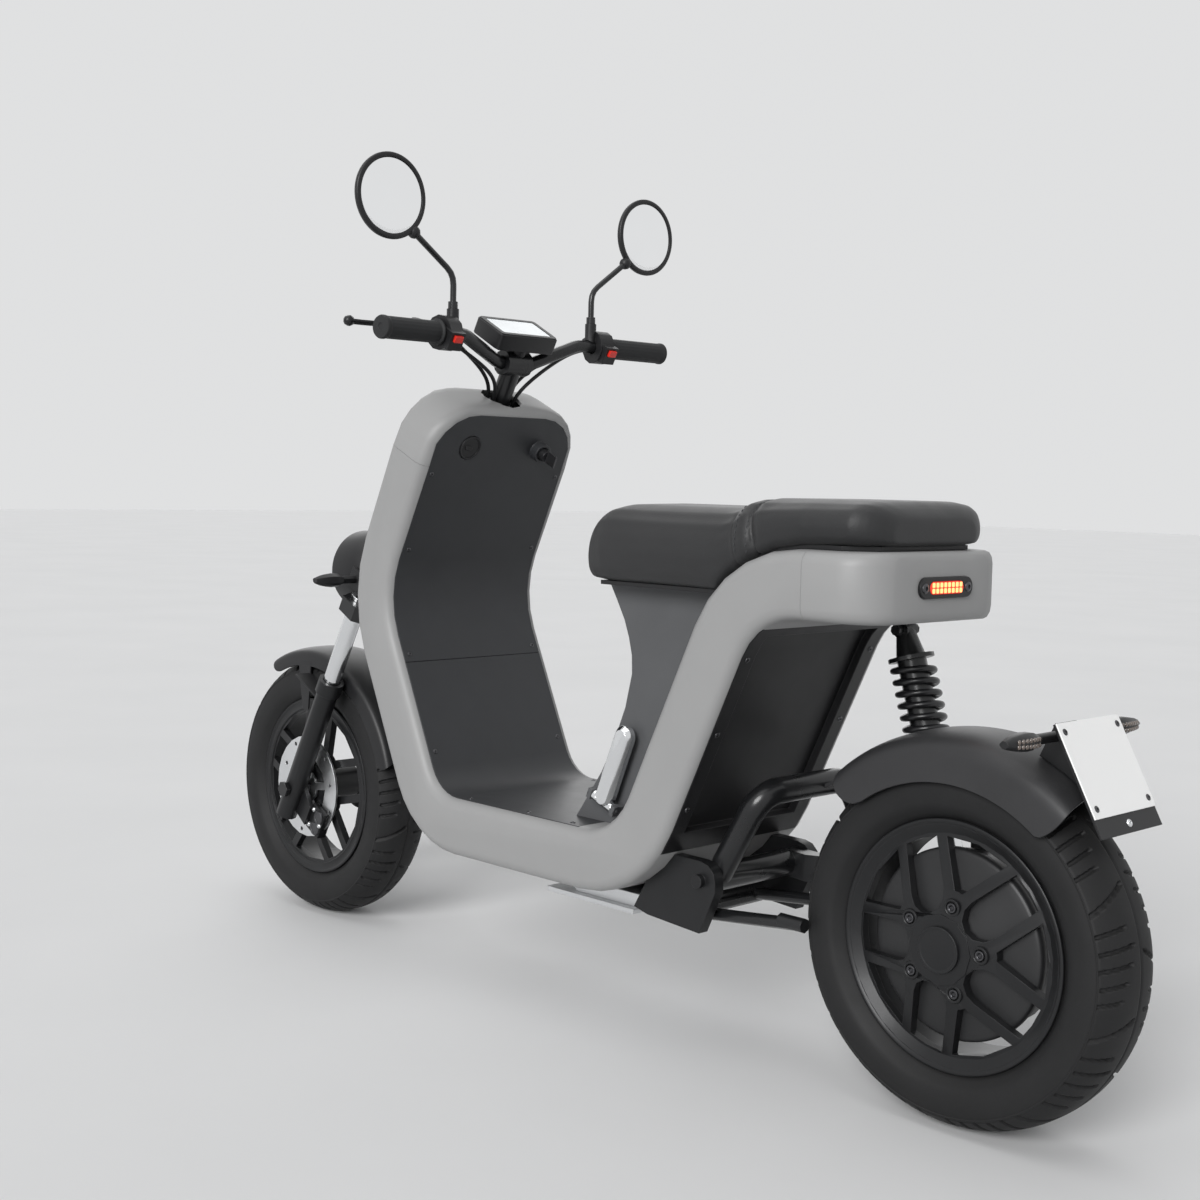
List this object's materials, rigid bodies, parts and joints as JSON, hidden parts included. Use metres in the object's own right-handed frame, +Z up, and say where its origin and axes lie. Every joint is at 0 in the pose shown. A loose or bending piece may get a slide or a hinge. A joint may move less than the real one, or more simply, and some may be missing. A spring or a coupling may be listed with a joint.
{
  "type": "seated electric scooter",
  "caption": "Small seated electric scooter: one wide bent band makes the leg shield, floor and tail, with a bench seat, cast wheels, sprung fork and a one-sided rear arm",
  "frame": {"origin": "on the ground, midway between the two axles and on the middle plane of the wheels", "axes": "+X points forward to the front wheel, +Y to the rider's left, +Z up"},
  "size_m": [1.9136, 0.6894, 1.324],
  "materials": {
    "paint": "satin mid-grey paint on moulded plastic",
    "panel_black": "fine-grained dark grey plastic",
    "satin_black": "satin black plastic",
    "mid_grey": "grained grey plastic",
    "seat_vinyl": "fine-grained black seat cover with stitched seam",
    "grip_rubber": "ribbed black rubber",
    "cable_rubber": "smooth black cable sheath",
    "tyre_rubber": "matt black tyre rubber with tread",
    "black_casting": "satin black cast aluminium",
    "frame_steel": "black painted steel",
    "spring_steel": "black coated spring wire",
    "chrome": "bright plated metal",
    "brushed_metal": "brushed bare metal",
    "plate_white": "bare white plate with no marks",
    "red_plastic": "bright red switch cap",
    "red_lens": "red lamp lens with lit columns",
    "clear_lens": "clear lamp lens",
    "mirror_glass": "mirror glass in a black housing"
  },
  "bodies": {
    "chassis": {"body_shell": "paint", "top_cap": "paint", "tail_cap": "paint", "leg_panel": "panel_black", "floor_panel": "panel_black", "rear_panel": "satin_black", "main_frame": "frame_steel", "charge_cover": "satin_black", "seat_post_cover": "mid_grey", "battery_pack": "satin_black", "belly_housing": "black_casting", "skid_tray": "brushed_metal", "tail_lamp_housing": "satin_black", "tail_lamp_lens": "red_lens"},
    "key": {"key_lock": "brushed_metal"},
    "stand": {"centre_stand": "frame_steel"},
    "seat": {"seat_base": "satin_black", "seat_cushion": "seat_vinyl"},
    "rear_arm": {"swingarm": "frame_steel", "rear_fender": "satin_black", "plate_bracket": "satin_black", "number_plate": "plate_white"},
    "rear_wheel": {"rear_rim": "black_casting", "rear_tyre": "tyre_rubber", "hub_motor": "black_casting"},
    "damper_body": {"shock_body": "frame_steel", "shock_spring": "spring_steel"},
    "damper_rod": {"shock_rod": "chrome"},
    "peg_left": {"footpeg_left": "chrome"},
    "peg_right": {"footpeg_right": "chrome"},
    "steering": {"steering_stem": "frame_steel", "handlebar": "frame_steel", "stanchion_left": "chrome", "stanchion_right": "chrome", "grip_left": "grip_rubber", "switch_pod_left": "satin_black", "switch_pod_right": "satin_black", "display": "satin_black", "control_cables": "cable_rubber", "headlamp": "satin_black", "headlamp_lens": "clear_lens", "front_indicator_left": "satin_black", "front_indicator_right": "satin_black"},
    "throttle": {"throttle_grip": "grip_rubber"},
    "lever_left": {"brake_lever_left": "black_casting"},
    "lever_right": {"brake_lever_right": "black_casting"},
    "switch_left": {"red_switch_left": "red_plastic"},
    "switch_right": {"red_switch_right": "red_plastic"},
    "mirror_arm_left": {"mirror_stem_left": "frame_steel"},
    "mirror_arm_right": {"mirror_stem_right": "frame_steel"},
    "mirror_head_left": {"mirror_left": "mirror_glass"},
    "mirror_head_right": {"mirror_right": "mirror_glass"},
    "fork_lower": {"slider_left": "black_casting", "slider_right": "black_casting", "front_axle": "frame_steel", "front_fender": "satin_black", "front_caliper": "black_casting"},
    "front_wheel": {"front_rim": "black_casting", "front_tyre": "tyre_rubber", "front_disc": "brushed_metal"}
  },
  "joints": [
    {"name": "steering_turn", "type": "hinge", "parent": "chassis", "child": "steering", "pos_m": [0.64613, 0, 0.20521], "axis": [-0.4695, 0, 0.8829], "range_deg": [-33, 33]},
    {"name": "fork_slide", "type": "slide", "parent": "steering", "child": "fork_lower", "axis": [-0.4695, 0, 0.8829], "range_m": [0, 0.08], "stiffness_N_per_m": 14000, "springref_m": -0.06},
    {"name": "front_wheel_spin", "type": "hinge", "parent": "fork_lower", "child": "front_wheel", "pos_m": [0.715, 0, 0.24183], "axis": [0, 1, 0], "continuous": true},
    {"name": "throttle_turn", "type": "hinge", "parent": "steering", "child": "throttle", "pos_m": [0.18261, -0.186, 1.05782], "axis": [-0.1185, -0.9929, -0.0124], "range_deg": [0, 75], "stiffness_Nm_per_rad": 0.3, "springref_deg": -22.92},
    {"name": "brake_lever_left_pull", "type": "hinge", "parent": "steering", "child": "lever_left", "pos_m": [0.22015, 0.196, 1.07015], "axis": [-0.4695, 0, 0.8829], "range_deg": [0, 12], "stiffness_Nm_per_rad": 3, "springref_deg": -17.19},
    {"name": "brake_lever_right_pull", "type": "hinge", "parent": "steering", "child": "lever_right", "pos_m": [0.22015, -0.196, 1.07015], "axis": [0.4695, 0, -0.8829], "range_deg": [0, 12], "stiffness_Nm_per_rad": 3, "springref_deg": -17.19},
    {"name": "red_switch_left_press", "type": "slide", "parent": "steering", "child": "switch_left", "axis": [0.8829, 0, 0.4695], "range_m": [0, 0.003], "stiffness_N_per_m": 400, "springref_m": -0.002},
    {"name": "red_switch_right_press", "type": "slide", "parent": "steering", "child": "switch_right", "axis": [0.8829, 0, 0.4695], "range_m": [0, 0.003], "stiffness_N_per_m": 400, "springref_m": -0.002},
    {"name": "mirror_left_swivel", "type": "hinge", "parent": "steering", "child": "mirror_arm_left", "pos_m": [0.18667, 0.152, 1.09725], "axis": [0, 0, 1], "range_deg": [-30, 30]},
    {"name": "mirror_right_swivel", "type": "hinge", "parent": "steering", "child": "mirror_arm_right", "pos_m": [0.18667, -0.152, 1.09725], "axis": [0, 0, 1], "range_deg": [-30, 30]},
    {"name": "mirror_left_tilt", "type": "hinge", "parent": "mirror_arm_left", "child": "mirror_head_left", "pos_m": [0.18667, 0.232, 1.20825], "axis": [0, 1, 0], "range_deg": [-15, 15]},
    {"name": "mirror_right_tilt", "type": "hinge", "parent": "mirror_arm_right", "child": "mirror_head_right", "pos_m": [0.18667, -0.232, 1.20825], "axis": [0, 1, 0], "range_deg": [-15, 15]},
    {"name": "rear_arm_swing", "type": "hinge", "parent": "chassis", "child": "rear_arm", "pos_m": [-0.343, 0, 0.26803], "axis": [0, 1, 0], "range_deg": [0, 12], "stiffness_Nm_per_rad": 3000, "springref_deg": -6.88, "deforming": ["shock_spring"]},
    {"name": "rear_wheel_spin", "type": "hinge", "parent": "rear_arm", "child": "rear_wheel", "pos_m": [-0.715, 0, 0.24183], "axis": [0, 1, 0], "continuous": true},
    {"name": "damper_body_lean", "type": "hinge", "parent": "chassis", "child": "damper_body", "pos_m": [-0.51244, -0.116, 0.62803], "axis": [0, 1, 0], "range_deg": [0, 1]},
    {"name": "damper_rod_lean", "type": "hinge", "parent": "rear_arm", "child": "damper_rod", "pos_m": [-0.611, -0.116, 0.30003], "axis": [0, 1, 0], "range_deg": [-11.1, 0]},
    {"name": "seat_open", "type": "hinge", "parent": "chassis", "child": "seat", "pos_m": [-0.1174, 0, 0.67173], "axis": [0, 1, 0], "range_deg": [0, 70]},
    {"name": "key_turn", "type": "hinge", "parent": "chassis", "child": "key", "pos_m": [0.2325, -0.076, 0.87895], "axis": [-0.9063, 0, -0.4226], "range_deg": [0, 90]},
    {"name": "peg_left_fold", "type": "hinge", "parent": "chassis", "child": "peg_left", "pos_m": [-0.141, 0.113, 0.35003], "axis": [-0.9272, 0, -0.3746], "range_deg": [0, 85]},
    {"name": "peg_right_fold", "type": "hinge", "parent": "chassis", "child": "peg_right", "pos_m": [-0.141, -0.113, 0.35003], "axis": [0.9272, 0, 0.3746], "range_deg": [0, 85]},
    {"name": "stand_fold", "type": "hinge", "parent": "chassis", "child": "stand", "pos_m": [-0.269, 0, 0.20603], "axis": [0, -1, 0], "range_deg": [0, 100], "stiffness_Nm_per_rad": 2, "springref_deg": -74.48}
  ],
  "couplings": [
    {"joint": "damper_body_lean", "follows": "rear_arm_swing", "ratio": 0.08},
    {"joint": "damper_rod_lean", "follows": "rear_arm_swing", "ratio": -0.92}
  ]
}
